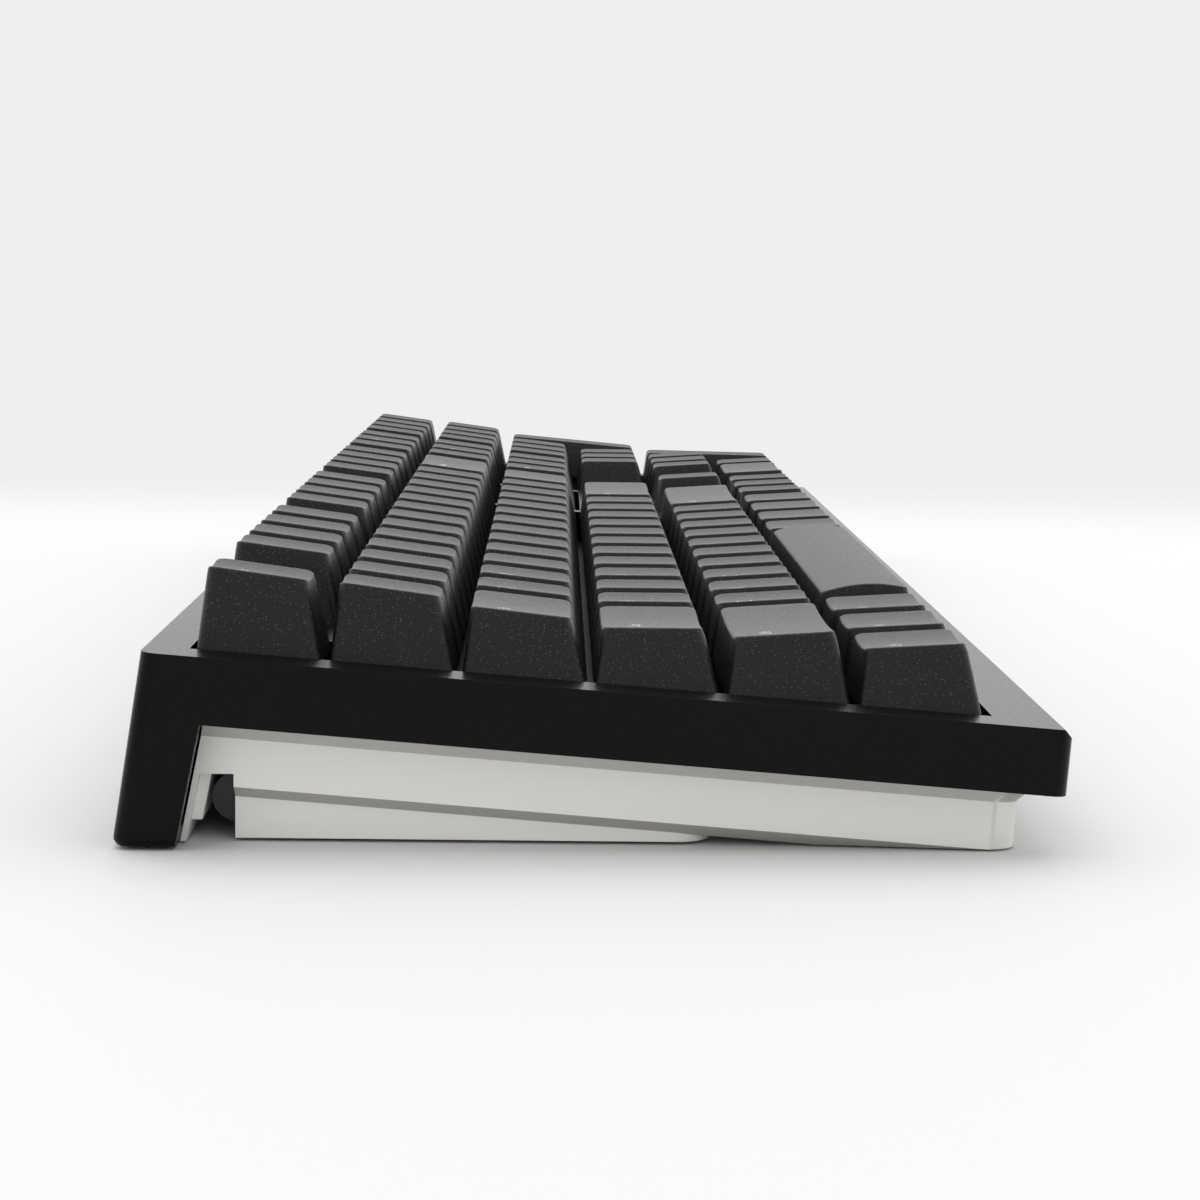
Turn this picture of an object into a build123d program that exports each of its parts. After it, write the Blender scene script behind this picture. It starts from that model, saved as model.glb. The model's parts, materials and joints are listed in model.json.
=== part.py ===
"""Full-size mechanical keyboard with 108 keys, as an assembly of separate parts.

+X runs along the keyboard to the typist's right, +Y to the rear, +Z up.  The origin is on the table,
under the middle of the case.  The keys stand on a deck that is tilted about X: deck coordinates are
x (along the keyboard), w (along the deck, from the case's front edge to the rear) and h (square to it,
0 at the top of the bezel).
"""
import os
from math import atan2, cos, degrees, hypot, radians, sin, tan

from build123d import *

os.makedirs("parts", exist_ok=True)

# ---- driving dimensions, mm ----
key_pitch = 19.05
columns = 22.5
rows = 6
tilt = radians(4.25)
side_bezel = 8.2
front_bezel = 11.1
rear_bezel = 6.55
bezel_front_z = 18.5
rail_depth = 9.6
rail_corner = 2.4
wall = 2.6
bezel_skin = 2.4
opening_clearance = 0.4
opening_depth = 6.7

leg_clear_z = 0.4
leg_top_depth = 9.1
leg_bottom_depth = 9.1
leg_lean = radians(8.65)
leg_round = 1.2

shell_inset = 3.8
shell_band_inset = 5.6
shell_foot_inset = 8.0
shell_wall = 2.2
shell_band_top_h = -12.0
shell_band_bottom_h = -19.0
shell_bottom_h = -20.8
shell_front_z = 0.3
shell_corner = 4.0
plinth_z = 0.5
plinth_front_w = 50.7
plinth_rear_w = 119.0
plinth_round = 5.0
plinth_inset = 7.9
notch_roof_h = -17.2
flange_thickness = 2.4
flange_inset = 8.5
flange_bottom_z = 3.0
liner_thickness = 0.9

foot_inset = 10.0
foot_width = 30.0
foot_length = 20.0
foot_thickness = 3.0
foot_hub_radius = 3.6
foot_pin_w = 118.9
foot_pin_z = 6.1
foot_pin_radius = 1.0
small_foot_length = 13.0

plate_top_h = -7.1
plate_thickness = 1.5
switch_hole = 14.0
board_top_h = plate_top_h - 5.0
board_thickness = 1.6

cap_gap = 0.9
cap_skirt_h = -1.0
cap_side_inset = 2.75
cap_front_inset = 3.1
cap_rear_inset = 0.45
cap_wall = 1.35
cap_corner = 1.4
dish_depth = 0.55
travel = 4.0

# Height of each row's cap above the bezel, at the top's rear and front edge; row 1 is the rear row.
cap_heights = {1: (11.7, 10.9), 2: (11.0, 10.2), 3: (9.1, 8.6), 4: (7.6, 8.7), 5: (7.8, 9.9), 6: (7.8, 9.8)}

# ---- derived sizes ----
case_length = columns * key_pitch + 2 * side_bezel
deck_depth = front_bezel + rows * key_pitch + rear_bezel
rear_top_y = deck_depth * cos(tilt)
rear_top_z = bezel_front_z + deck_depth * sin(tilt)
leg_foot_y = rear_top_y + (rear_top_z - leg_clear_z) * tan(leg_lean)
leg_round_loss = leg_round * (tan(leg_lean) + 1 / cos(leg_lean) - 1)
case_depth = leg_foot_y - leg_round_loss
front_y = -case_depth / 2
field_left = -case_length / 2 + side_bezel

deck = Plane(origin=(0, front_y, bezel_front_z), x_dir=(1, 0, 0), z_dir=(0, -sin(tilt), cos(tilt)))


def on_deck(x, w, turn=0.0):
    """Location of a deck point, square on the deck and turned about its normal by degrees."""
    return deck.location * Location((x, w, 0), (0, 0, turn))


def deck_yz(w, h):
    """The deck point (w, h) as a (y, z) point of the side profile."""
    return (front_y + w * cos(tilt) - h * sin(tilt), bezel_front_z + w * sin(tilt) + h * cos(tilt))


def w_at(z, h):
    """Deck coordinate w where the deck-parallel plane h passes the height z."""
    return (z - bezel_front_z - h * cos(tilt)) / sin(tilt)


def save(part, name):
    part.label = name
    export_step(part, f"parts/{name}.step")


# ---- key layout: name -> (row, first column, key widths, rows tall) ----
key_groups = {
    "escape_key": (1, 0, [1], 1),
    "f1_to_f4_keys": (1, 2, [1] * 4, 1),
    "f5_to_f8_keys": (1, 6.5, [1] * 4, 1),
    "f9_to_f12_keys": (1, 11, [1] * 4, 1),
    "system_keys": (1, 15.25, [1] * 3, 1),
    "media_keys": (1, 18.5, [1] * 4, 1),
    "number_row_keys": (2, 0, [1] * 13, 1),
    "backspace_key": (2, 13, [2], 1),
    "edit_keys_upper": (2, 15.25, [1] * 3, 1),
    "numpad_operator_keys": (2, 18.5, [1] * 4, 1),
    "tab_key": (3, 0, [1.5], 1),
    "q_row_keys": (3, 1.5, [1] * 12 + [1.5], 1),
    "edit_keys_lower": (3, 15.25, [1] * 3, 1),
    "numpad_789_keys": (3, 18.5, [1] * 3, 1),
    "numpad_plus_key": (3, 21.5, [1], 2),
    "caps_lock_key": (4, 0, [1.75], 1),
    "a_row_keys": (4, 1.75, [1] * 11, 1),
    "enter_key": (4, 12.75, [2.25], 1),
    "numpad_456_keys": (4, 18.5, [1] * 3, 1),
    "left_shift_key": (5, 0, [2.25], 1),
    "z_row_keys": (5, 2.25, [1] * 10, 1),
    "right_shift_key": (5, 12.25, [2.75], 1),
    "arrow_up_key": (5, 16.25, [1], 1),
    "numpad_123_keys": (5, 18.5, [1] * 3, 1),
    "numpad_enter_key": (5, 21.5, [1], 2),
    "left_control_key": (6, 0, [1.25], 1),
    "left_system_key": (6, 1.25, [1.25], 1),
    "left_alt_key": (6, 2.5, [1.25], 1),
    "space_bar": (6, 3.75, [6.25], 1),
    "right_alt_key": (6, 10, [1.25], 1),
    "right_system_key": (6, 11.25, [1.25], 1),
    "function_key": (6, 12.5, [1.25], 1),
    "right_control_key": (6, 13.75, [1.25], 1),
    "arrow_left_key": (6, 15.25, [1], 1),
    "arrow_down_key": (6, 16.25, [1], 1),
    "arrow_right_key": (6, 17.25, [1], 1),
    "numpad_zero_key": (6, 18.5, [2], 1),
    "numpad_point_key": (6, 20.5, [1], 1),
}

# Openings in the bezel: (first column, last column, rear row, front row)
openings = [
    (0, 15, 2, 6),
    (0, 1, 1, 2),
    (2, 6, 1, 2),
    (6.5, 10.5, 1, 2),
    (11, 15, 1, 2),
    (15.25, 18.25, 1, 3),
    (16.25, 17.25, 5, 6),
    (15.25, 18.25, 6, 6),
    (18.5, 22.5, 1, 6),
]

# Screws: (column, rows from the rear edge of the field)
screws = [(1.5, 0.85), (6.25, 0.85), (10.75, 0.85), (15.125, 1), (18.375, 1), (15.125, 4), (18.375, 4), (16.75, 3.5)]


def key_x(column):
    return field_left + column * key_pitch


def key_w(row_steps):
    """w at a number of rows in front of the field's rear edge."""
    return front_bezel + (rows - row_steps) * key_pitch


def group_keys(name):
    """(centre x, centre w, width, depth, stabiliser half span, tall) of each key of a group."""
    row, column, widths, tall = key_groups[name]
    keys = []
    for units in widths:
        longest = max(units, tall)
        half_span = 0 if longest < 2 else (50.0 if longest > 3 else 11.9)
        x = key_x(column + units / 2)
        w = key_w(row - 1 + tall / 2)
        keys.append((x, w, units * key_pitch - cap_gap, tall * key_pitch - cap_gap, half_span, tall > 1))
        column += units
    return keys


all_keys = [key for name in key_groups for key in group_keys(name)]
switch_places = [(x, w, 0) for x, w, *_ in all_keys]
stabiliser_places = [
    (x, w + side * span, 90) if tall else (x + side * span, w, 0)
    for x, w, _, _, span, tall in all_keys
    if span
    for side in (-1, 1)
]
screw_places = [(key_x(column), key_w(steps)) for column, steps in screws]

# ---- switch parts, drawn on a switch's own axis ----
housing_top_h = plate_top_h + 6.6
flange_top_h = plate_top_h + 1.0
slider_top_h = housing_top_h + 3.6
slider_body_h = housing_top_h - 0.4
slider_height = 4.0
cross_length = 4.0
cross_width = 1.2
cross_slack = 0.04
boss_radius = 2.55
housing_floor_h = board_top_h + 0.8
post_radius = 1.95
spring_radius = 2.0
spring_wire = 0.2


def cross(slack):
    """The plus-shaped section that joins a cap to its slider."""
    Rectangle(cross_length + slack, cross_width + slack)
    Rectangle(cross_width + slack, cross_length + slack)


with BuildPart() as slider:
    with BuildSketch(Plane.XY.offset(slider_body_h)):
        cross(-cross_slack)
    extrude(amount=slider_top_h - slider_body_h)
    with BuildSketch(Plane.XY.offset(slider_body_h)):
        RectangleRounded(6.8, 5.5, 0.8)
    extrude(amount=-slider_height)

with BuildPart() as top_housing:
    with BuildSketch(Plane.XY.offset(flange_top_h)):
        Rectangle(14.8, 14.8)
    with BuildSketch(Plane.XY.offset(housing_top_h)):
        Rectangle(11.0, 10.6)
    loft(ruled=True)
    with BuildSketch(Plane.XY.offset(flange_top_h)):
        Rectangle(12.4, 12.4)
    with BuildSketch(Plane.XY.offset(housing_top_h - 1.0)):
        Rectangle(9.2, 8.8)
    loft(ruled=True, mode=Mode.SUBTRACT)
    with BuildSketch(Plane.XY.offset(housing_top_h)):
        Rectangle(7.5, 6.2)
    extrude(amount=-1.5, mode=Mode.SUBTRACT)

with BuildPart() as bottom_housing:
    with BuildSketch(Plane.XY.offset(board_top_h)):
        Rectangle(switch_hole - 0.1, switch_hole - 0.1)
    extrude(amount=plate_top_h - board_top_h)
    with BuildSketch(Plane.XY.offset(plate_top_h)):
        Rectangle(15.6, 15.6)
    extrude(amount=flange_top_h - plate_top_h)
    with BuildSketch(Plane.XY.offset(flange_top_h)):
        Rectangle(11.4, 11.4)
    extrude(amount=housing_floor_h - flange_top_h, mode=Mode.SUBTRACT)
    with BuildSketch(Plane.XY.offset(board_top_h)):
        Circle(post_radius)
    extrude(amount=-2.6)

# The coil spring is a thin sleeve of its outer size, between the housing's floor and the slider.
spring_bottom_h = housing_floor_h + 0.02
spring_top_h = slider_body_h - slider_height - 0.02
with BuildPart() as spring:
    with BuildSketch(Plane.XY.offset(spring_bottom_h)):
        Circle(spring_radius)
        Circle(spring_radius - 2 * spring_wire, mode=Mode.SUBTRACT)
    extrude(amount=spring_top_h - spring_bottom_h)

stabiliser_top_h = housing_top_h - 1.0
with BuildPart() as stabiliser_housing:
    with BuildSketch(Plane.XY.offset(board_top_h + 0.4)):
        RectangleRounded(6.6, 12.6, 0.6)
    extrude(amount=stabiliser_top_h - board_top_h - 0.4)
    with BuildSketch(Plane.XY.offset(stabiliser_top_h)):
        Rectangle(5.4, 7.4)
    extrude(amount=board_top_h + 1.2 - stabiliser_top_h, mode=Mode.SUBTRACT)

with BuildPart() as stabiliser_slider:
    with BuildSketch(Plane.XY.offset(stabiliser_top_h)):
        cross(-cross_slack)
    extrude(amount=slider_top_h - stabiliser_top_h)
    with BuildSketch(Plane.XY.offset(stabiliser_top_h)):
        RectangleRounded(4.6, 5.6, 0.5)
    extrude(amount=-3.6)


def keycap(width, depth, heights, stem_places, crown=0.0):
    """A hollow cap with a sloped top, dished across its width, or crowned from front to rear.

    Its origin is on the bezel plane, at the middle of its switch; stem_places are its sockets.
    """
    rear_height, front_height = heights
    top_depth = depth - cap_front_inset - cap_rear_inset
    slope = atan2(rear_height - front_height, top_depth)
    top_mid = Vector(0, (cap_front_inset - cap_rear_inset) / 2, (rear_height + front_height) / 2 + crown)
    top_plane = Plane(origin=top_mid, x_dir=(1, 0, 0), z_dir=(0, -sin(slope), cos(slope)))
    top_width = width - 2 * cap_side_inset
    roof_h = min(heights) - dish_depth - 1.5
    roof_share = (roof_h - cap_skirt_h) / (min(heights) - cap_skirt_h)
    with BuildPart() as cap:
        with BuildSketch(Plane.XY.offset(cap_skirt_h)):
            RectangleRounded(width, depth, cap_corner)
        with BuildSketch(top_plane):
            RectangleRounded(top_width, hypot(top_depth, rear_height - front_height), cap_corner)
        loft(ruled=True)
        if crown:
            rear_edge = (depth / 2 - cap_rear_inset, rear_height)
            front_edge = (cap_front_inset - depth / 2, front_height)
            with BuildSketch(Plane.YZ):
                with BuildLine():
                    ThreePointArc(front_edge, (top_mid.Y, top_mid.Z), rear_edge)
                    Polyline(rear_edge, (depth, rear_height), (depth, cap_skirt_h - 1),
                             (-depth, cap_skirt_h - 1), (-depth, front_height), front_edge)
                make_face()
            extrude(amount=width, both=True, mode=Mode.INTERSECT)
        else:
            dish_radius = (top_width ** 2 / 4 + dish_depth ** 2) / (2 * dish_depth)
            dish_centre = top_plane.from_local_coords(Vector(0, 0, dish_radius - dish_depth))
            with BuildSketch(Plane(origin=dish_centre, x_dir=(1, 0, 0), z_dir=top_plane.y_dir)):
                Circle(dish_radius)
            extrude(amount=depth, both=True, mode=Mode.SUBTRACT)
        with BuildSketch(Plane.XY.offset(cap_skirt_h)):
            Rectangle(width - 2 * cap_wall, depth - 2 * cap_wall)
        roof_shift = (cap_front_inset - cap_rear_inset) / 2 * roof_share
        with BuildSketch(Plane.XY.offset(roof_h)):
            with Locations((0, roof_shift)):
                Rectangle(width - 2 * (cap_wall + cap_side_inset * roof_share),
                          depth - 2 * cap_wall - (cap_front_inset + cap_rear_inset) * roof_share)
        loft(ruled=True, mode=Mode.SUBTRACT)
        with BuildSketch(Plane.XY.offset(roof_h + 0.4)):
            with Locations(*stem_places):
                Circle(boss_radius)
        extrude(amount=housing_top_h + 0.3 - roof_h - 0.4)
        with BuildSketch(Plane.XY.offset(slider_top_h + 0.05)):
            with Locations(*stem_places):
                Rectangle(cross_length, cross_width)
                Rectangle(cross_width, cross_length)
        extrude(amount=housing_top_h - slider_top_h, mode=Mode.SUBTRACT)
    return cap.part


cap_cache = {}


def key_parts(name):
    """Every solid of a key group: each cap, its slider, and its stabiliser sliders."""
    row, _, _, tall = key_groups[name]
    heights = (cap_heights[row][0], cap_heights[row + tall - 1][1])
    solids = []
    for x, w, width, depth, span, upright in group_keys(name):
        spread = [(0, side * span) if upright else (side * span, 0) for side in (-1, 1) if span]
        kind = (name == "space_bar", width, depth, heights)
        if kind not in cap_cache:
            cap_cache[kind] = keycap(width, depth, heights, [(0, 0)] + spread, 1.1 if kind[0] else 0.0)
        solids.append(cap_cache[kind].moved(on_deck(x, w)))
        solids.append(slider.part.moved(on_deck(x, w)))
        turn = 90 if upright else 0
        solids += [stabiliser_slider.part.moved(on_deck(x + dx, w + dw, turn)) for dx, dw in spread]
    return solids


for group_name in key_groups:
    with BuildPart() as keys:
        add(key_parts(group_name), clean=False)
    save(keys.part, group_name)


def repeated(part, places, name):
    """One node of identical solids, one at each (x, w, turn) place on the deck."""
    with BuildPart() as group:
        add([part.moved(on_deck(*place)) for place in places], clean=False)
    save(group.part, name)


repeated(top_housing.part, switch_places, "switch_top_housings")
repeated(bottom_housing.part, switch_places, "switch_bottom_housings")
repeated(spring.part, switch_places, "switch_springs")
repeated(stabiliser_housing.part, stabiliser_places, "stabiliser_housings")


# ---- stabiliser wires: a bar in front of the two housings, with an arm into each ----
wire_radius = 0.65
wire_h = -6.0
wire_offset = 8.9
with BuildPart() as stabiliser_wires:
    for x, w, _, _, span, upright in all_keys:
        if span:
            wire_plane = Plane(on_deck(x, w, -90 if upright else 0)).offset(wire_h)
            with BuildLine(wire_plane) as bar:
                FilletPolyline((-span, -6.35), (-span, -wire_offset), (span, -wire_offset), (span, -6.35),
                               radius=1.5)
            with BuildSketch(Plane(origin=bar.line @ 0, z_dir=bar.line % 0)):
                Circle(wire_radius)
            sweep()
save(stabiliser_wires.part, "stabiliser_wires")


# ---- plate, circuit board and what sits on it ----
half_length = case_length / 2
tray_inset = 8.0
shell_floor_h = shell_bottom_h + shell_wall
boss_outer_radius = 3.0
boss_root_radius = 1.9


def tray_rectangle(front_w, rear_w, inset=tray_inset):
    """A rectangle between two deck stations, across the inside of the case."""
    with Locations((0, (front_w + rear_w) / 2)):
        Rectangle(case_length - 2 * inset, rear_w - front_w)


with BuildPart() as switch_plate:
    with BuildSketch(deck.offset(plate_top_h)):
        tray_rectangle(tray_inset, deck_depth - 5.1)
        with Locations(*[(x, w) for x, w, _ in switch_places]):
            Rectangle(switch_hole, switch_hole, mode=Mode.SUBTRACT)
        for x, w, turn in stabiliser_places:
            with Locations(Location((x, w), turn)):
                Rectangle(7.0, 13.0, mode=Mode.SUBTRACT)
        with Locations(*screw_places):
            Circle(boss_outer_radius + 0.4, mode=Mode.SUBTRACT)
    extrude(amount=-plate_thickness)
save(switch_plate.part, "switch_plate")

board_rear_w = deck_depth - 7.0
with BuildPart() as circuit_board:
    with BuildSketch(deck.offset(board_top_h)):
        tray_rectangle(tray_inset + 1.2, board_rear_w, tray_inset + 0.2)
        with Locations(*[(x, w) for x, w, _ in switch_places]):
            Circle(post_radius + 0.1, mode=Mode.SUBTRACT)
        with Locations(*screw_places):
            Circle(boss_outer_radius + 0.4, mode=Mode.SUBTRACT)
    extrude(amount=-board_thickness)
save(circuit_board.part, "circuit_board")

socket_height = 3.3
socket_front_w = board_rear_w - 4.0
socket_x = key_x(10.75)
socket_origin = deck.location * Location((socket_x, socket_front_w, board_top_h + socket_height / 2 + 0.05))
socket_plane = Plane(origin=socket_origin.position, x_dir=(1, 0, 0), z_dir=deck.y_dir)
with BuildPart() as usb_socket:
    with BuildSketch(socket_plane):
        RectangleRounded(9.0, socket_height, 1.4)
    extrude(amount=7.6)
    with BuildSketch(socket_plane.offset(7.6)):
        RectangleRounded(8.4, 2.7, 1.2)
    extrude(amount=-6.6, mode=Mode.SUBTRACT)
    with BuildSketch(socket_plane.offset(1.0)):
        Rectangle(6.4, 0.7)
    extrude(amount=5.4)
save(usb_socket.part, "usb_socket")

with BuildPart() as controller_chip:
    with BuildSketch(deck.offset(board_top_h - board_thickness)):
        with Locations((key_x(9.5), key_w(1.0))):
            Rectangle(7.0, 7.0)
    extrude(amount=-1.0)
save(controller_chip.part, "controller_chip")

with BuildPart() as damping_foam:
    with BuildSketch(deck.offset(shell_floor_h + 0.05)):
        tray_rectangle(42, 109, tray_inset + 0.6)
        with Locations(*screw_places):
            Circle(boss_outer_radius + 0.4, mode=Mode.SUBTRACT)
    extrude(amount=2.4)
save(damping_foam.part, "damping_foam")


# ---- upper shell: bezel, rail and the leaning rear leg ----
leg_front_top = deck_yz(deck_depth - leg_top_depth, -rail_depth)
leg_front_foot = (front_y + leg_foot_y - leg_bottom_depth, leg_clear_z)
leg_hollow_z = leg_clear_z + wall
screw_pilot_radius = 1.3


def rear_face_y(z, inwards=0.0):
    """y of the leaning rear face, or of a face that far inside it, at the height z."""
    return front_y + rear_top_y + (rear_top_z - z) * tan(leg_lean) - inwards / cos(leg_lean)


def opening_rectangles(margin, mode=Mode.ADD):
    """The outlines of the bezel openings, grown by a margin."""
    for column, last_column, row, last_row in openings:
        width = (last_column - column) * key_pitch
        depth = (last_row - row + 1) * key_pitch
        with Locations((key_x(column) + width / 2, key_w(last_row) + depth / 2)):
            Rectangle(width + 2 * margin, depth + 2 * margin, mode=mode)


def prism(points, low_x, high_x, mode=Mode.ADD):
    """A side profile of (y, z) points, carried along X between two stations."""
    with BuildSketch(Plane.YZ.offset(low_x)) as profile:
        with BuildLine():
            Polyline(*points, close=True)
        make_face()
    extrude(profile.sketch, amount=high_x - low_x, mode=mode)


front_chamfer = 1.4
with BuildPart() as top_case:
    prism(
        [
            deck_yz(0, 0),
            deck_yz(deck_depth, 0),
            (rear_face_y(leg_clear_z), leg_clear_z),
            leg_front_foot,
            leg_front_top,
            deck_yz(0, -rail_depth),
        ],
        -half_length,
        half_length,
    )
    end_edges = top_case.edges().filter_by(Axis.X, reverse=True)
    fillet(end_edges.group_by(Axis.Y)[0] + end_edges.group_by(Axis.Y)[-1], rail_corner)
    leg_sole = top_case.faces().sort_by(Axis.Z)[0]
    fillet(leg_sole.edges().filter_by(lambda edge: edge.center().Y > leg_front_foot[0] + 0.1), leg_round)
    prism(
        [deck_yz(-1, 1), deck_yz(1 + front_chamfer, 1), deck_yz(-1, -1 - front_chamfer)],
        -half_length - 1,
        half_length + 1,
        Mode.SUBTRACT,
    )
    with BuildSketch(deck.offset(1)):
        opening_rectangles(opening_clearance)
    extrude(amount=-30, mode=Mode.SUBTRACT)
    with BuildSketch(deck.offset(-bezel_skin)):
        tray_rectangle(wall, deck_depth - wall, wall)
        opening_rectangles(opening_clearance + 1.6, Mode.SUBTRACT)
    extrude(amount=bezel_skin - opening_depth, mode=Mode.SUBTRACT)
    with BuildSketch(deck.offset(-opening_depth)):
        tray_rectangle(wall, deck_depth - wall, wall)
    extrude(amount=opening_depth - rail_depth - 1, mode=Mode.SUBTRACT)
    prism(
        [
            deck_yz(deck_depth - 12, -opening_depth),
            (rear_face_y(rear_top_z - opening_depth, wall), rear_top_z - opening_depth),
            (rear_face_y(leg_hollow_z, wall), leg_hollow_z),
            (leg_front_foot[0] - 20, leg_hollow_z),
        ],
        wall - half_length,
        half_length - wall,
        Mode.SUBTRACT,
    )
    with BuildSketch(deck.offset(-bezel_skin)):
        with Locations(*screw_places):
            Circle(boss_root_radius)
    extrude(amount=bezel_skin - opening_depth)
    with BuildSketch(deck.offset(-opening_depth)):
        with Locations(*screw_places):
            Circle(boss_outer_radius)
    extrude(amount=shell_floor_h + 0.05 + opening_depth)
    with BuildSketch(deck.offset(shell_floor_h - 1)):
        with Locations(*screw_places):
            Circle(screw_pilot_radius)
    extrude(amount=10, mode=Mode.SUBTRACT)
    with BuildSketch(socket_plane.offset(5)):
        RectangleRounded(12.6, 7.0, 2.4)
    extrude(amount=12, mode=Mode.SUBTRACT)
save(top_case.part, "top_case")


# ---- lower shell ----
foot_pin_y = front_y + foot_pin_w
foot_low_z = foot_pin_z - foot_hub_radius
foot_top_z = foot_low_z + foot_thickness
pin_inset = 1.5
foot_stations = [-half_length + foot_inset, half_length - foot_inset - foot_width]
arm_width = 5.0
lug_width = 2.5
foot_gap = 0.35
lug_starts = [arm_width + foot_gap, foot_width - arm_width - foot_gap - lug_width]
pad_recess = 1.0
collar_h = -7.7
collar_inset = wall + 0.15
shell_rear_w = deck_depth + 20
head_seat_h = shell_floor_h - 1.0
head_radius = 2.5


def shell_outline(h, inset):
    """The lower shell's outline at one level; its rear end is cut to the leg later."""
    with BuildSketch(deck.offset(h)) as outline:
        with Locations((0, (inset + shell_rear_w) / 2)):
            RectangleRounded(case_length - 2 * inset, shell_rear_w - inset, shell_corner)
    return outline.sketch


with BuildPart() as bottom_case:
    shell_levels = [
        (-rail_depth, shell_inset),
        (shell_band_top_h, shell_band_inset),
        (shell_band_bottom_h, shell_band_inset),
        (shell_bottom_h, shell_foot_inset),
    ]
    for upper, lower in zip(shell_levels, shell_levels[1:]):
        loft([shell_outline(*upper), shell_outline(*lower)], ruled=True)
    extrude(shell_outline(-rail_depth, collar_inset), amount=collar_h + rail_depth)
    plinth_depth = plinth_rear_w - plinth_front_w
    with BuildSketch(Plane.XY.offset(plinth_z)):
        with Locations((0, front_y + plinth_front_w + plinth_depth / 2 + plinth_round)):
            RectangleRounded(case_length - 2 * plinth_inset, plinth_depth + 2 * plinth_round, plinth_round)
    extrude(amount=10)
    # inside: a floor, raised over the notch
    floor_z = shell_front_z + shell_wall
    inner_inset = shell_band_inset + shell_wall
    raised_floor_w = foot_pin_w - foot_hub_radius - 2.6
    prism(
        [
            deck_yz(inner_inset, 5),
            deck_yz(shell_rear_w, 5),
            deck_yz(shell_rear_w, notch_roof_h + shell_wall),
            deck_yz(raised_floor_w, notch_roof_h + shell_wall),
            deck_yz(raised_floor_w, shell_floor_h),
            deck_yz(w_at(floor_z, shell_floor_h), shell_floor_h),
            deck_yz(inner_inset, (floor_z - bezel_front_z - inner_inset * sin(tilt)) / cos(tilt)),
        ],
        inner_inset - half_length,
        half_length - inner_inset,
        Mode.SUBTRACT,
    )
    # behind the leg's front face, and the notch in front of the flange
    leg_run = (leg_front_foot[0] - leg_front_top[0]) / (leg_front_top[1] - leg_clear_z)

    def leg_front_y(z, forward=0.1):
        """y of the leg's front face at the height z, less a gap or a thickness."""
        return leg_front_top[0] + (leg_front_top[1] - z) * leg_run - forward

    prism(
        [(leg_front_y(40), 40), (leg_front_y(-20), -20), (front_y + 200, -20), (front_y + 200, 40)],
        -half_length,
        half_length,
        Mode.SUBTRACT,
    )
    notch_front_y = front_y + plinth_rear_w
    notch_roof_z = deck_yz(plinth_rear_w, notch_roof_h)[1]
    prism([(notch_front_y, -20), (notch_front_y, notch_roof_z), (notch_front_y + 12, notch_roof_z),
           (notch_front_y + 12, -20)], -half_length, half_length, Mode.SUBTRACT)
    prism([(leg_front_y(notch_roof_z + 0.3), notch_roof_z + 0.3), (leg_front_y(leg_clear_z), leg_clear_z),
           (leg_front_y(leg_clear_z, liner_thickness), leg_clear_z),
           (leg_front_y(notch_roof_z + 0.3, liner_thickness), notch_roof_z + 0.3)],
          shell_band_inset - half_length, half_length - shell_band_inset)
    prism([(leg_front_y(notch_roof_z + 0.3), notch_roof_z + 0.3), (leg_front_y(flange_bottom_z), flange_bottom_z),
           (leg_front_y(flange_bottom_z, flange_thickness), flange_bottom_z),
           (leg_front_y(notch_roof_z + 0.3, flange_thickness), notch_roof_z + 0.3)],
          flange_inset - half_length, half_length - flange_inset)
    prism([(front_y - 1, shell_front_z), (front_y + 80, shell_front_z), (front_y + 80, -20), (front_y - 1, -20)],
          -half_length, half_length, Mode.SUBTRACT)
    prism([(front_y + 80, leg_clear_z), (front_y + 150, leg_clear_z), (front_y + 150, -20), (front_y + 80, -20)],
          -half_length, half_length, Mode.SUBTRACT)
    for station in foot_stations:
        # recess for the folded foot and its hub, and the two lugs that hold its pin
        recess_y = foot_pin_y - foot_length - 3.6
        hub_y = foot_pin_y - foot_hub_radius - 0.4
        behind_y = notch_front_y + 0.1
        for front, roof_z in ((recess_y, foot_top_z + 0.4), (hub_y, foot_pin_z + foot_hub_radius + 0.35)):
            prism([(front, -1), (front, roof_z), (behind_y, roof_z), (behind_y, -1)],
                  station - 0.4, station + foot_width + 0.4, Mode.SUBTRACT)
        for lug in lug_starts:
            prism([(foot_pin_y - 2.6, foot_pin_z - 2.4), (foot_pin_y + 2.6, foot_pin_z - 2.4),
                   (foot_pin_y + 2.6, 11), (foot_pin_y - 2.6, 11)], station + lug, station + lug + lug_width)
        with BuildSketch(Plane.YZ.offset(station + lug_starts[0] - 0.1)):
            with Locations((foot_pin_y, foot_pin_z)):
                Circle(foot_pin_radius + 0.01)
        extrude(amount=foot_width - 2 * lug_starts[0] + 0.2, mode=Mode.SUBTRACT)
    with BuildSketch(deck.offset(shell_floor_h + 1)):
        with Locations(*screw_places):
            Circle(1.5)
    extrude(amount=-20, mode=Mode.SUBTRACT)
    with BuildSketch(deck.offset(head_seat_h)):
        with Locations(*screw_places):
            Circle(head_radius + 0.3)
    extrude(amount=-20, mode=Mode.SUBTRACT)
    rear_pads = [(-150, front_y + 113), (150, front_y + 113)]
    front_pads = [(-190, front_y + 20), (190, front_y + 20)]
    for places, underside in ((rear_pads, plinth_z), (front_pads, shell_front_z)):
        with BuildSketch(Plane.XY.offset(underside - 1)):
            with Locations(*places):
                RectangleRounded(36.3, 7.3, 1.0)
        extrude(amount=pad_recess + 1, mode=Mode.SUBTRACT)
save(bottom_case.part, "bottom_case")


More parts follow.
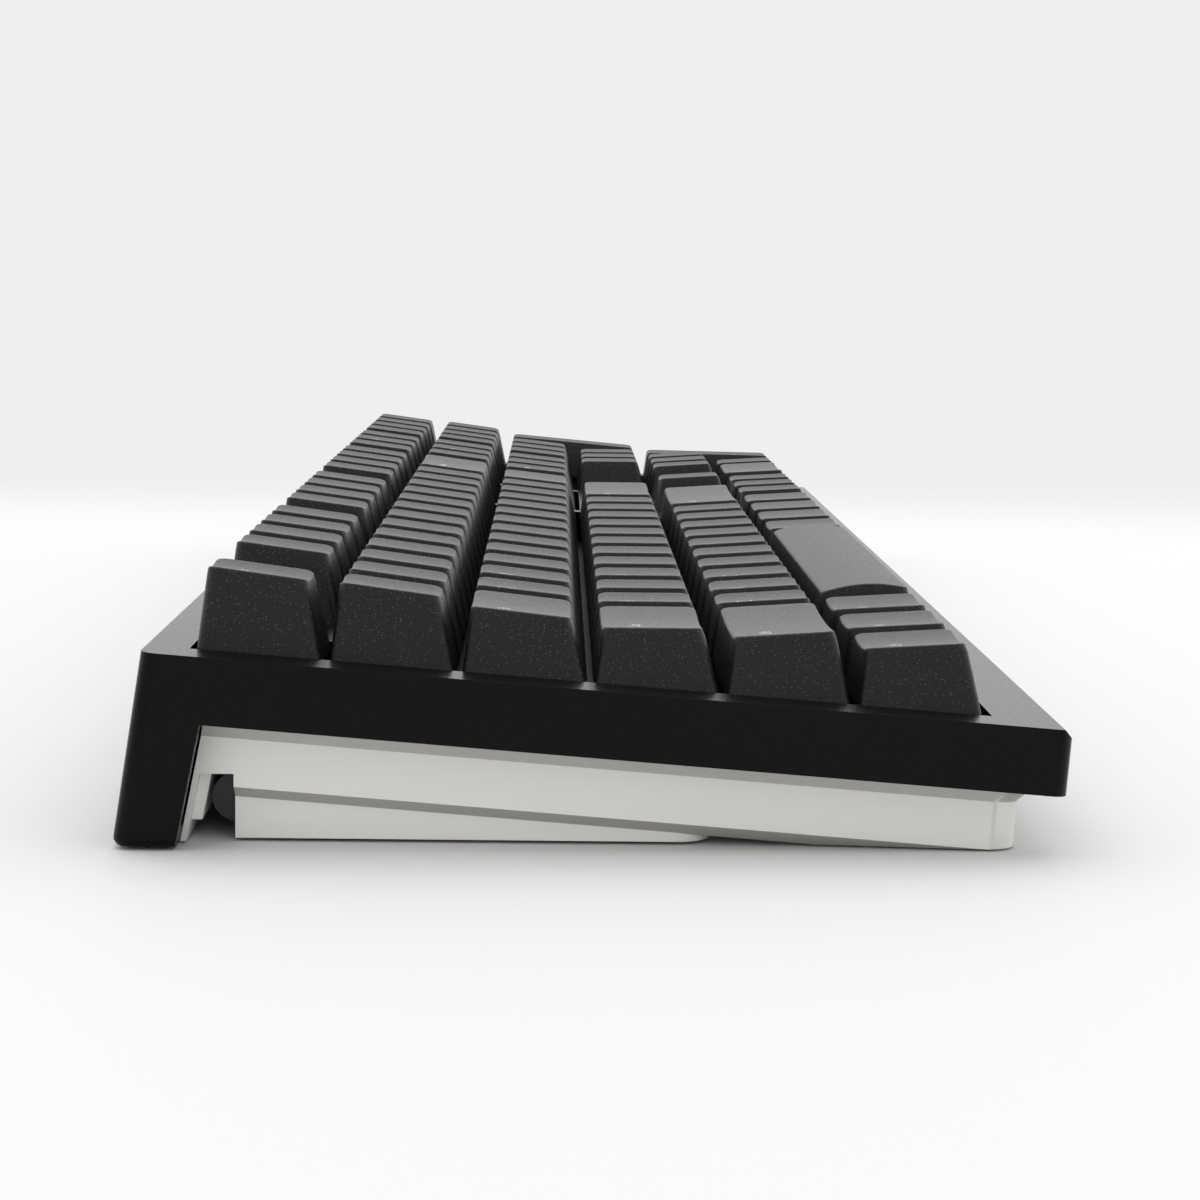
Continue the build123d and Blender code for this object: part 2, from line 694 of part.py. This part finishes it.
# ---- fasteners, pads and fold-out feet ----
with BuildPart() as case_screws:
    with BuildSketch(deck.offset(head_seat_h - 0.02)):
        with Locations(*screw_places):
            Circle(head_radius)
    extrude(amount=-1.2)
    with BuildSketch(deck.offset(head_seat_h - 0.02)):
        with Locations(*screw_places):
            Circle(screw_pilot_radius - 0.02)
    extrude(amount=8)
    with BuildSketch(deck.offset(head_seat_h - 1.22)):
        with Locations(*screw_places):
            Rectangle(2.6, 0.6)
            Rectangle(0.6, 2.6)
    extrude(amount=0.7, mode=Mode.SUBTRACT)
save(case_screws.part, "case_screws")

for pad_name, places, underside in (
    ("rear_rubber_pads", rear_pads, plinth_z),
    ("front_rubber_pads", front_pads, shell_front_z),
):
    with BuildPart() as pads:
        with BuildSketch(Plane.XY):
            with Locations(*places):
                RectangleRounded(36, 7, 0.9)
        extrude(amount=underside + pad_recess - 0.02)
    save(pads.part, pad_name)

window_start = arm_width
window_end = foot_width - arm_width
small_start = lug_starts[0] + lug_width + foot_gap
small_end = lug_starts[1] - foot_gap


def foot_bar(start, end, front_length, rear_length=0.0, mode=Mode.ADD):
    """A bar of a foot between two stations in X, and two distances in front of the pin."""
    prism([(foot_pin_y - front_length, foot_low_z), (foot_pin_y - rear_length, foot_low_z),
           (foot_pin_y - rear_length, foot_top_z), (foot_pin_y - front_length, foot_top_z)], start, end, mode)


def foot_round(start, end, radius, mode=Mode.ADD):
    """A cylinder on the hinge axis."""
    with BuildSketch(Plane.YZ.offset(start)) as disc:
        with Locations((foot_pin_y, foot_pin_z)):
            Circle(radius)
    extrude(disc.sketch, amount=end - start, mode=mode)


with BuildPart() as hinge_pins:
    for station in foot_stations:
        foot_round(station + pin_inset, station + foot_width - pin_inset, foot_pin_radius)
save(hinge_pins.part, "foot_hinge_pins")

for side, station in zip(("left", "right"), foot_stations):
    with BuildPart() as large_foot:
        for start, end in ((0, window_start), (window_end, foot_width)):
            foot_bar(station + start, station + end, foot_length)
            foot_round(station + start, station + end, foot_hub_radius)
        foot_bar(station + window_start, station + window_end, foot_length, small_foot_length + 1.4)
        foot_round(station + pin_inset - 0.3, station + foot_width - pin_inset + 0.3, foot_pin_radius + 0.05,
                   Mode.SUBTRACT)
    save(large_foot.part, f"{side}_large_foot")

    with BuildPart() as foot_tip:
        with BuildSketch(Plane.YZ.offset(station)):
            with Locations((foot_pin_y - foot_length - 1.6, foot_low_z + foot_thickness / 2)):
                RectangleRounded(3.16, foot_thickness, 1.2)
        extrude(amount=foot_width)
    save(foot_tip.part, f"{side}_foot_tip")

    with BuildPart() as small_foot:
        foot_bar(station + small_start, station + small_end, small_foot_length)
        foot_round(station + small_start, station + small_end, foot_hub_radius)
        foot_round(station + small_start, station + small_end, foot_pin_radius + 0.05, Mode.SUBTRACT)
    save(small_foot.part, f"{side}_small_foot")
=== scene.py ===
"""Looks of a full-size mechanical keyboard, seen from its left end: sculpted charcoal caps on a tilted deck,
a black upper case with a deep rear leg, and a white lower case.  Everything is in metres, in the frame's axes:
+X to the typist's right, +Y to the rear, +Z up.  Deck coordinates are x, w (up the slope) and h (square to it).
"""

import json
import math

import bpy
import numpy as np
from mathutils import Matrix, Vector


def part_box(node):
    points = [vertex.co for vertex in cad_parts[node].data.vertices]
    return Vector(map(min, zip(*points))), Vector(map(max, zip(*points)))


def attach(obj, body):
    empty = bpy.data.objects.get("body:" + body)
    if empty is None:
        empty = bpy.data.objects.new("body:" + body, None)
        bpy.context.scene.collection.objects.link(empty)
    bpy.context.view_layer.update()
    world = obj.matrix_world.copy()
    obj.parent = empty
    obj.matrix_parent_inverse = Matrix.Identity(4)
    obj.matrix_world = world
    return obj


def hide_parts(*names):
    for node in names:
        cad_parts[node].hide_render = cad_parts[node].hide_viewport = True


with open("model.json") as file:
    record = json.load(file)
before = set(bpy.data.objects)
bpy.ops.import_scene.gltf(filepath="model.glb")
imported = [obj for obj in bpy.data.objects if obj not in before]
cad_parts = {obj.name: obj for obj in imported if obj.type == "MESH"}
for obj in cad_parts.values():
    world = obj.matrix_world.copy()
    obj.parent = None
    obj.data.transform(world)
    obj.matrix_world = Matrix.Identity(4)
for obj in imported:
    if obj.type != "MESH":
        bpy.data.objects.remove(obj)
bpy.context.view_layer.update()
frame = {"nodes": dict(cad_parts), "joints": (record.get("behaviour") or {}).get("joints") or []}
MM = 0.001


# ---- Camera ----
# It looks along the keyboard from just past its left end, a hand's height above the table,
# a few degrees downwards, through a long lens.
camera_back = 0.4087
camera_side = 0.0735
camera_height = 0.0835
camera_yaw = -0.0156
camera_pitch = 0.1149
camera_roll = -0.0129
camera_lens = 88.34

case_low, case_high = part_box("top_case")
forward = Vector((
    math.cos(camera_pitch) * math.cos(camera_yaw),
    math.cos(camera_pitch) * math.sin(camera_yaw),
    -math.sin(camera_pitch),
))
level_right = Vector((math.sin(camera_yaw), -math.cos(camera_yaw), 0))
level_down = forward.cross(level_right)
right = math.cos(camera_roll) * level_right + math.sin(camera_roll) * level_down
down = math.cos(camera_roll) * level_down - math.sin(camera_roll) * level_right
camera = bpy.data.objects.new("camera", bpy.data.cameras.new("camera"))
camera.data.lens = camera_lens
camera.data.sensor_width = 36
camera.data.clip_start = 0.01
turned = Matrix((right, -down, -forward)).transposed().to_4x4()
camera.matrix_world = Matrix.Translation(
    (case_low.x - camera_back, case_low.y + camera_side, camera_height)
) @ turned
bpy.context.scene.collection.objects.link(camera)
bpy.context.scene.camera = camera


# ---- Upper case: black ABS, moulded in one piece with a fine satin texture ----
# Its bezel frames the keys and its rear leg reaches the table.  Its sharp edges are rounded by a third of
# a millimetre, so that they catch a thin line of light.
def linear(hex_colour):
    """A linear colour from an sRGB hex value: each channel below 0.04045 is divided by 12.92, else a power."""
    channels = [int(hex_colour[i:i + 2], 16) / 255 for i in (0, 2, 4)]
    return [c / 12.92 if c < 0.04045 else ((c + 0.055) / 1.055) ** 2.4 for c in channels] + [1.0]


def add_node(material, kind, settings=None, **links):
    """Adds a node, sets its attributes or input values, and links named inputs to other sockets."""
    node = material.node_tree.nodes.new(kind)
    for name, value in (settings or {}).items():
        if name in node.inputs:
            node.inputs[name].default_value = value
        else:
            setattr(node, name, value)
    for name, socket in links.items():
        material.node_tree.links.new(socket, node.inputs[name])
    return node


def new_material(name, roughness=0.5, specular=0.5, metallic=0.0):
    """A material with one principled shader, and its shader node."""
    material = bpy.data.materials.new(name)
    material.use_nodes = True
    shader = material.node_tree.nodes["Principled BSDF"]
    shader.inputs["Roughness"].default_value = roughness
    shader.inputs["Specular IOR Level"].default_value = specular
    shader.inputs["Metallic"].default_value = metallic
    return material, shader


def join(material, socket, shader, name):
    """Links a socket to one of the shader's inputs."""
    material.node_tree.links.new(socket, shader.inputs[name])


def blend(material, factor, low, high):
    """The colour between two, by a factor socket; each of the two is an sRGB hex value or a socket."""
    mix = add_node(material, "ShaderNodeMix", {"data_type": "RGBA"}, Factor=factor)
    for slot, colour in ((mix.inputs[6], low), (mix.inputs[7], high)):
        if isinstance(colour, str):
            slot.default_value = linear(colour)
        else:
            material.node_tree.links.new(colour, slot)
    return mix.outputs[2]


def mottle(material, grain, dark, pale, **settings):
    """A noise of a grain in metres on Object coordinates: its colour between two, its value and its place."""
    place = add_node(material, "ShaderNodeTexCoord").outputs["Object"]
    noise = add_node(material, "ShaderNodeTexNoise", {"Scale": 1 / grain, **settings}, Vector=place)
    noise = noise.outputs["Fac"]
    return blend(material, noise, dark, pale), noise, place


# Moulded ABS with a satin spark-eroded texture: near black, with a soft grazing sheen on the bezel.  The
# texture's grain is about 0.4 mm, drawn that coarse so that it shows, over a cloud 36 mm wide.
case_black, shader = new_material("satin_black_abs", specular=0.12)
colour, _, place = mottle(case_black, 36 * MM, "030404", "070908", Detail=3.0)
join(case_black, colour, shader, "Base Color")
texture_grain = add_node(case_black, "ShaderNodeTexNoise", {"Scale": 1 / (0.385 * MM)}, Vector=place)
rough = add_node(case_black, "ShaderNodeMapRange", {"To Min": 0.22, "To Max": 0.36},
                 Value=texture_grain.outputs["Fac"])
join(case_black, rough.outputs["Result"], shader, "Roughness")
bump = add_node(case_black, "ShaderNodeBump", {"Strength": 0.35, "Distance": 0.04 * MM},
                Height=texture_grain.outputs["Fac"])
join(case_black, bump.outputs["Normal"], shader, "Normal")

edge_round = 0.35 * MM


def dress(node, material, rounding=0.0):
    """Gives a CAD node its finish, and rounds its sharp edges where a radius is named."""
    part = frame["nodes"][node]
    part.data.materials.clear()
    part.data.materials.append(material)
    if rounding:
        weld = part.modifiers.new("weld", "WELD")
        weld.merge_threshold = 0.002 * MM
        bevel = part.modifiers.new("edge", "BEVEL")
        bevel.width = rounding
        bevel.segments = 2
        bevel.limit_method = "ANGLE"
        bevel.angle_limit = math.radians(40)
        bevel.use_clamp_overlap = True


dress("top_case", case_black, edge_round)


# ---- Lower case: white ABS with a fine matt texture ----
# It hangs inside the black rail, with a chamfer above and below its band, and a wedge plinth.
# Moulded ABS with a fine matt texture, a third of a millimetre in grain: an even, chalky white.  Faces that
# look down are toned greyer than the plastic is, to deepen the shade under the chamfers.
shell_white, shader = new_material("matt_white_abs")
colour, _, place = mottle(shell_white, 45 * MM, "efeeeb", "f6f5f2", Detail=2.0)
facing = add_node(shell_white, "ShaderNodeNewGeometry")
facing_up = add_node(shell_white, "ShaderNodeSeparateXYZ", Vector=facing.outputs["Normal"])
undercut = add_node(shell_white, "ShaderNodeMapRange",
                    {"From Min": -0.7, "From Max": -0.15, "To Min": 1.0, "To Max": 0.0},
                    Value=facing_up.outputs["Z"])
join(shell_white, blend(shell_white, undercut.outputs["Result"], colour, "aaa8a4"), shader, "Base Color")
sand = add_node(shell_white, "ShaderNodeTexNoise", {"Scale": 1 / (0.333 * MM)}, Vector=place)
bump = add_node(shell_white, "ShaderNodeBump", {"Strength": 0.25, "Distance": 0.03 * MM},
                Height=sand.outputs["Fac"])
join(shell_white, bump.outputs["Normal"], shader, "Normal")
shell_round = 0.25 * MM
dress("bottom_case", shell_white, shell_round)


# ---- Keycaps: thick charcoal PBT with a sandy grain ----
# Each is a hollow four-sided cap with rounded corners.  Rows are sculpted: the tops lean towards the
# home row.  All are dished across their width but the space bar, which is crowned.
pitch = 19.05 * MM
cap_gap = 0.9 * MM
skirt_h = -1.0 * MM
side_inset = 2.75 * MM
front_inset = 3.1 * MM
rear_inset = 0.45 * MM
cap_wall = 1.35 * MM
dish_depth = 0.55 * MM
crown_height = 1.1 * MM
base_corner = 1.4 * MM
top_corner = 1.7 * MM
edge_radius = 0.45 * MM
bezel_front_z = 18.5 * MM
front_bezel = 11.1 * MM
field_rows = 6

press_axis = next(Vector(j["axis"]) for j in frame["joints"] if j["name"] == "space_bar_press")
deck_normal = np.array(-press_axis) / press_axis.length
deck_slope = np.array([0, deck_normal[2], -deck_normal[1]])
deck_front = np.array([0, case_low.y, bezel_front_z])


def letters(text):
    """Keys one unit wide, one for each word of a text."""
    return [(1, mark) for mark in text.split()]


# Height of each row's cap above the bezel in mm, at the top's rear and front edge; row 1 is the rear row.
row_heights = {1: (11.7, 10.9), 2: (11.0, 10.2), 3: (9.1, 8.6), 4: (7.6, 8.7), 5: (7.8, 9.9), 6: (7.8, 9.8)}

# Each group of keys: (row, rows tall, [(width in units, legend), ...])
key_groups = {
    "escape_key": (1, 1, [(1, "Esc")]),
    "f1_to_f4_keys": (1, 1, letters("F1 F2 F3 F4")),
    "f5_to_f8_keys": (1, 1, letters("F5 F6 F7 F8")),
    "f9_to_f12_keys": (1, 1, letters("F9 F10 F11 F12")),
    "system_keys": (1, 1, letters("Print Scroll Pause")),
    "media_keys": (1, 1, letters("Calc Mute Vol- Vol+")),
    "number_row_keys": (2, 1, letters("` 1 2 3 4 5 6 7 8 9 0 - =")),
    "backspace_key": (2, 1, [(2, "Backspace")]),
    "edit_keys_upper": (2, 1, letters("Insert Home PgUp")),
    "numpad_operator_keys": (2, 1, letters("Num / * -")),
    "tab_key": (3, 1, [(1.5, "Tab")]),
    "q_row_keys": (3, 1, letters("Q W E R T Y U I O P [ ]") + [(1.5, "\\")]),
    "edit_keys_lower": (3, 1, letters("Delete End PgDn")),
    "numpad_789_keys": (3, 1, letters("7 8 9")),
    "numpad_plus_key": (3, 2, [(1, "+")]),
    "caps_lock_key": (4, 1, [(1.75, "Caps")]),
    "a_row_keys": (4, 1, letters("A S D F G H J K L ; '")),
    "enter_key": (4, 1, [(2.25, "Enter")]),
    "numpad_456_keys": (4, 1, letters("4 5 6")),
    "left_shift_key": (5, 1, [(2.25, "Shift")]),
    "z_row_keys": (5, 1, letters("Z X C V B N M , . /")),
    "right_shift_key": (5, 1, [(2.75, "Shift")]),
    "arrow_up_key": (5, 1, [(1, "^")]),
    "numpad_123_keys": (5, 1, letters("1 2 3")),
    "numpad_enter_key": (5, 2, [(1, "Enter")]),
    "left_control_key": (6, 1, [(1.25, "Ctrl")]),
    "left_system_key": (6, 1, [(1.25, "Sys")]),
    "left_alt_key": (6, 1, [(1.25, "Alt")]),
    "space_bar": (6, 1, [(6.25, "")]),
    "right_alt_key": (6, 1, [(1.25, "Alt")]),
    "right_system_key": (6, 1, [(1.25, "Sys")]),
    "function_key": (6, 1, [(1.25, "Fn")]),
    "right_control_key": (6, 1, [(1.25, "Ctrl")]),
    "arrow_left_key": (6, 1, [(1, "<")]),
    "arrow_down_key": (6, 1, [(1, "v")]),
    "arrow_right_key": (6, 1, [(1, ">")]),
    "numpad_zero_key": (6, 1, [(2, "0")]),
    "numpad_point_key": (6, 1, [(1, ".")]),
}


def cap_top(x, y, width, depth, heights, crowned):
    """Height of a cap's top at x, y from its middle: a sloping plane between its rear and front edges,
    less a parabola across the width, or plus one along the depth on the space bar."""
    rear, front = heights[0] * MM, heights[1] * MM
    middle = (front_inset - rear_inset) / 2
    half_depth = (depth - front_inset - rear_inset) / 2
    along = (y - middle) / half_depth
    plane = (rear + front) / 2 + along * (rear - front) / 2
    if crowned:
        return plane + crown_height * (1 - along ** 2)
    across = x / (width / 2 - side_inset)
    return plane - dish_depth * (1 - across ** 2)


def rounded_ring(half_x, half_y, middle_y, corner, arc_points=6, edge_points=7):
    """Points once round a rectangle with quarter-circle corners, counter-clockwise, evenly along each side."""
    ring = []
    turns = np.linspace(0, math.pi / 2, arc_points)
    sides = ((1, -1, 0), (1, 1, 1), (-1, 1, 2), (-1, -1, 3))
    corners = []
    for sign_x, sign_y, quarter in sides:
        angles = turns + (quarter - 1) * math.pi / 2
        centre = np.array([sign_x * (half_x - corner), sign_y * (half_y - corner)])
        corners.append(centre + corner * np.stack([np.cos(angles), np.sin(angles)], 1))
    for here, following in zip(corners, corners[1:] + corners[:1]):
        share = np.linspace(0, 1, edge_points + 2)[1:-1, None]
        ring += [here, here[-1] + share * (following[0] - here[-1])]
    ring = np.concatenate(ring)
    ring[:, 1] += middle_y
    return ring


def cap_rings(width, depth, heights, crowned):
    """A closed cap as a stack of rings: the inner roof, inner wall, skirt, outer side, rounded edge and top.
    A ring at a share of the height is the base rectangle drawn in by that share of each side's inset."""
    def ring_at(share, shrink, corner):
        half_x = width / 2 - side_inset * share - shrink
        half_y = (depth - (front_inset + rear_inset) * share) / 2 - shrink
        middle = (front_inset - rear_inset) / 2 * share
        return rounded_ring(half_x, half_y, middle, corner), middle

    rings = []
    roof = min(heights) * MM - dish_depth - 1.5 * MM
    roof_share = (roof - skirt_h) / (min(heights) * MM - skirt_h)
    inner_roof, middle = ring_at(roof_share, cap_wall, 0.3 * MM)
    for scale in (0.25, 1.0):
        ring = inner_roof.copy()
        ring[:, 0] *= scale
        ring[:, 1] = middle + (ring[:, 1] - middle) * scale
        rings.append(np.column_stack([ring, np.full(len(ring), roof)]))
    inner_foot, _ = ring_at(0, cap_wall, 0.5 * MM)
    rings.append(np.column_stack([inner_foot, np.full(len(inner_foot), skirt_h)]))
    lip = 0.15 * MM
    for shrink, lift in ((lip, 0.0), (0.0, lip)):
        foot, _ = ring_at(0, shrink, base_corner)
        rings.append(np.column_stack([foot, np.full(len(foot), skirt_h + lift)]))
    for share in (0.06, 0.35, 0.65, 0.88):
        side, _ = ring_at(share, 0, base_corner + (top_corner - base_corner) * share)
        top = cap_top(side[:, 0], side[:, 1], width, depth, heights, crowned)
        rings.append(np.column_stack([side, skirt_h + share * (top - skirt_h)]))
    for turn in np.linspace(0.05, math.pi / 2, 6):
        drawn_in = edge_radius * (1 - math.cos(turn))
        edge, _ = ring_at(1, drawn_in, top_corner - drawn_in)
        top = cap_top(edge[:, 0], edge[:, 1], width, depth, heights, crowned)
        rings.append(np.column_stack([edge, top - edge_radius * (1 - math.sin(turn))]))
    rim = rings[-1][:, :2].copy()
    middle = (front_inset - rear_inset) / 2
    for scale in (0.94, 0.8, 0.62, 0.42, 0.2):
        ring = np.column_stack([rim[:, 0] * scale, middle + (rim[:, 1] - middle) * scale])
        rings.append(np.column_stack([ring, cap_top(ring[:, 0], ring[:, 1], width, depth, heights, crowned)]))
    return np.array(rings)


def ring_faces(ring_count, points):
    """Quads between neighbouring rings, and a fan to a pole at each end; the poles are the last two points."""
    a = np.arange(ring_count - 1)[:, None] * points + np.arange(points)[None, :]
    b = np.arange(ring_count - 1)[:, None] * points + (np.arange(points)[None, :] + 1) % points
    quads = np.stack([a, b, b + points, a + points], -1).reshape(-1, 4)
    low_pole, high_pole = ring_count * points, ring_count * points + 1
    around = np.arange(points)
    following = (around + 1) % points
    last = (ring_count - 1) * points
    fans = [np.stack([following, around, np.full(points, low_pole)], 1),
            np.stack([last + around, last + following, np.full(points, high_pole)], 1)]
    return quads.tolist() + np.concatenate(fans).tolist()


def on_deck(points, x, w):
    """Deck offsets (x, w, h) in metres, moved to a deck station and turned into the frame's axes."""
    return (
        deck_front
        + np.outer(points[:, 0] + x, [1, 0, 0])
        + np.outer(points[:, 1] + w, deck_slope)
        + np.outer(points[:, 2], deck_normal)
    )


def new_piece(name, vertices, faces, material, body, smooth=True):
    """A mesh object at the origin, with its place in its mesh, riding on a body."""
    mesh = bpy.data.meshes.new(name)
    mesh.from_pydata(vertices.tolist(), [], faces)
    mesh.materials.append(material)
    mesh.polygons.foreach_set("use_smooth", [smooth] * len(mesh.polygons))
    mesh.update()
    piece = bpy.data.objects.new(name, mesh)
    bpy.context.scene.collection.objects.link(piece)
    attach(piece, body)
    return piece


# Thick PBT, moulded with a sandy grain of about two thirds of a millimetre: charcoal, with fine pale specks
# painted into its colour as glints, where a grain's flat would catch the light.
cap_charcoal, shader = new_material("grained_charcoal_pbt", specular=0.36)
colour, sand, place = mottle(cap_charcoal, 0.667 * MM, "050707", "0f1212", Detail=3.0, Roughness=0.6)
# The pale specks are painted highlights: glints of light painted into the base colour as small pale cells.
painted_glint_cells = add_node(cap_charcoal, "ShaderNodeTexVoronoi", {"Scale": 1 / (0.455 * MM)}, Vector=place)
painted_glint_share = add_node(cap_charcoal, "ShaderNodeMapRange",
                       {"From Min": 0.08, "From Max": 0.2, "To Min": 1.0, "To Max": 0.0},
                       Value=painted_glint_cells.outputs["Distance"])
join(cap_charcoal, blend(cap_charcoal, painted_glint_share.outputs["Result"], colour, "64686a"), shader, "Base Color")
rough = add_node(cap_charcoal, "ShaderNodeMapRange", {"To Min": 0.34, "To Max": 0.56}, Value=sand)
join(cap_charcoal, rough.outputs["Result"], shader, "Roughness")
bump = add_node(cap_charcoal, "ShaderNodeBump", {"Strength": 0.35, "Distance": 0.05 * MM}, Height=sand)
join(cap_charcoal, bump.outputs["Normal"], shader, "Normal")


def group_caps(name):
    """(x, w, width, depth, heights, legend) of each cap of a group, in metres, from its CAD node's box."""
    row, tall, marks = key_groups[name]
    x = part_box(name)[0].x - cap_gap / 2
    heights = (row_heights[row][0], row_heights[row + tall - 1][1])
    w = front_bezel + (field_rows - row + 1 - tall / 2) * pitch
    caps = []
    for units, mark in marks:
        caps.append((x + units * pitch / 2, w, units * pitch - cap_gap, tall * pitch - cap_gap, heights, mark))
        x += units * pitch
    return caps


for name in key_groups:
    vertices, faces, count = [], [], 0
    for x, w, width, depth, heights, mark in group_caps(name):
        rings = cap_rings(width, depth, heights, name == "space_bar")
        poles = np.array([rings[0].mean(0), rings[-1].mean(0)])
        poles[1, 2] = cap_top(0, poles[1, 1], width, depth, heights, name == "space_bar")
        points = np.concatenate([rings.reshape(-1, 3), poles])
        vertices.append(on_deck(points, x, w))
        faces += [[index + count for index in face] for face in ring_faces(len(rings), rings.shape[1])]
        count += len(points)
    caps = new_piece(name + "_caps", np.concatenate(vertices), faces, cap_charcoal, name)
    weights = caps.modifiers.new("normals", "WEIGHTED_NORMAL")
    weights.weight = 60
    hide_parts(name)


# ---- Legends: pale ink on the rear left of each cap's top ----
# Each is a flat mark laid on the dished top and lifted clear of it by a hair.  The marks are the plain names
# of the keys, and the space bar has none.
# Sublimed ink: an even pale grey that keeps a little of the cap's grain.
legend_grey, shader = new_material("pale_legend_ink")
join(legend_grey, mottle(legend_grey, 1.11 * MM, "c4c7c8", "e6e8e8")[0], shader, "Base Color")
legend_lift = 0.03 * MM
letter_height = 3.6 * MM
word_height = 2.5 * MM
legend_margin = 2.0 * MM


def legend_mesh(mark):
    """Flat letters as points and faces, with their lower left corner at the origin."""
    curve = bpy.data.curves.new("legend", "FONT")
    curve.body = mark
    curve.size = letter_height if len(mark) == 1 else word_height
    curve.resolution_u = 2
    maker = bpy.data.objects.new("legend", curve)
    bpy.context.scene.collection.objects.link(maker)
    flat = bpy.data.meshes.new_from_object(maker)
    points = np.array([v.co for v in flat.vertices], float).reshape(-1, 3)
    faces = [list(p.vertices) for p in flat.polygons]
    bpy.data.objects.remove(maker)
    bpy.data.curves.remove(curve)
    return points, faces


for name in key_groups:
    vertices, faces, count = [], [], 0
    for x, w, width, depth, heights, mark in group_caps(name):
        if not mark:
            continue
        points, mark_faces = legend_mesh(mark)
        points[:, 0] += side_inset + legend_margin - width / 2
        points[:, 1] += depth / 2 - rear_inset - legend_margin - letter_height
        points[:, 2] = cap_top(points[:, 0], points[:, 1], width, depth, heights, False) + legend_lift
        vertices.append(on_deck(points, x, w))
        faces += [[index + count for index in face] for face in mark_faces]
        count += len(points)
    if vertices:
        legends = new_piece(name + "_legends", np.concatenate(vertices), faces, legend_grey, name, smooth=False)


# ---- Plate, switches, wires, board, feet and pads ----
# The steel plate holds the switches above the circuit board, and the foam lies under it.  The nylon feet fold
# out from the lower case on their pins, and the rubber pads and tips stand on the table.
# Powder coat on steel: dark grey with a fine grit and a dull sheen.
steel, shader = new_material("grey_powder_coated_steel", roughness=0.45, metallic=0.2)
join(steel, mottle(steel, 0.833 * MM, "1c1e1f", "2a2d2e")[0], shader, "Base Color")

# Drawn and plated steel: bright, with faint changes of tone.
bright_steel, shader = new_material("bright_steel_wire", roughness=0.3, metallic=1.0)
join(bright_steel, mottle(bright_steel, 0.556 * MM, "a9abad", "c8cacc")[0], shader, "Base Color")

# Injection-moulded nylon: black with a low, slightly waxy sheen.
black_nylon, shader = new_material("moulded_black_nylon", roughness=0.42)
join(black_nylon, mottle(black_nylon, 1.43 * MM, "101112", "191b1c")[0], shader, "Base Color")

# Moulded rubber: a dusty, quite matt black.
black_rubber, shader = new_material("matt_black_rubber", roughness=0.8)
join(black_rubber, mottle(black_rubber, 0.667 * MM, "141515", "222424")[0], shader, "Base Color")

finishes = {
    steel: ["switch_plate"],
    bright_steel: ["switch_springs", "stabiliser_wires", "usb_socket", "case_screws"],
    black_nylon: ["switch_top_housings", "switch_bottom_housings", "stabiliser_housings", "circuit_board",
                  "controller_chip", "foot_hinge_pins", "left_large_foot", "right_large_foot",
                  "left_small_foot", "right_small_foot"],
    black_rubber: ["damping_foam", "rear_rubber_pads", "front_rubber_pads", "left_foot_tip", "right_foot_tip"],
}
for material, nodes in finishes.items():
    for node in nodes:
        dress(node, material)


# ---- Stage: a pale table and soft studio light ----
# The table fades into a plain backdrop of its own brightness behind the far end.  The camera sees an even
# pale grey all round; the object is lit by it less from the near end and more from beyond the far end, so
# that the cap tops catch light at a grazing angle.
backdrop_grey = linear("efefef")
backdrop_start = 0.24
backdrop_full = 0.5

# Matt white laminate: an even pale surface that takes a soft shadow.
white_table, shader = new_material("white_table", roughness=0.7, specular=0.2)
colour, _, place = mottle(white_table, 667 * MM, "e6e6e6", "e9e9e9")
join(white_table, colour, shader, "Base Color")
across = add_node(white_table, "ShaderNodeSeparateXYZ", Vector=place)
fade = add_node(white_table, "ShaderNodeMapRange",
                {"interpolation_type": "SMOOTHSTEP", "From Min": backdrop_start, "From Max": backdrop_full},
                Value=across.outputs["X"])
paper = add_node(white_table, "ShaderNodeEmission", {"Color": backdrop_grey})
surface = add_node(white_table, "ShaderNodeMixShader", Fac=fade.outputs["Result"])
table_links = white_table.node_tree.links
table_links.new(shader.outputs["BSDF"], surface.inputs[1])
table_links.new(paper.outputs["Emission"], surface.inputs[2])
table_links.new(surface.outputs["Shader"], white_table.node_tree.nodes["Material Output"].inputs["Surface"])

floor_mesh = bpy.data.meshes.new("floor")
half_table = 4
floor_mesh.from_pydata([(x * half_table, y * half_table, 0) for x, y in ((-1, -1), (1, -1), (1, 1), (-1, 1))],
                       [], [(0, 1, 2, 3)])
floor_mesh.materials.append(white_table)
floor = bpy.data.objects.new("floor", floor_mesh)
bpy.context.scene.collection.objects.link(floor)

world = bpy.data.worlds.new("studio")
world.use_nodes = True
place = add_node(world, "ShaderNodeTexCoord")
direction = add_node(world, "ShaderNodeSeparateXYZ", Vector=place.outputs["Generated"])
strength = add_node(world, "ShaderNodeMapRange",
                    {"interpolation_type": "SMOOTHSTEP", "From Min": -0.6, "From Max": 0.9,
                     "To Min": 0.78, "To Max": 1.45}, Value=direction.outputs["X"])
path = add_node(world, "ShaderNodeLightPath")
seen = add_node(world, "ShaderNodeMix", {"data_type": "FLOAT"}, Factor=path.outputs["Is Camera Ray"])
world.node_tree.links.new(strength.outputs["Result"], seen.inputs[2])
seen.inputs[3].default_value = backdrop_grey[0]
background = world.node_tree.nodes["Background"]
background.inputs["Color"].default_value = linear("ffffff")
world.node_tree.links.new(seen.outputs[0], background.inputs["Strength"])
bpy.context.scene.world = world


overhead = bpy.data.objects.new("overhead", bpy.data.lights.new("overhead", "AREA"))
overhead.data.size = 1.2
overhead.data.energy = 3.1
overhead.location = (0.1, 0.05, 1.2)
overhead.rotation_euler = (-overhead.location).to_track_quat("-Z", "Y").to_euler()
bpy.context.scene.collection.objects.link(overhead)
bpy.context.scene.view_settings.view_transform = "Standard"
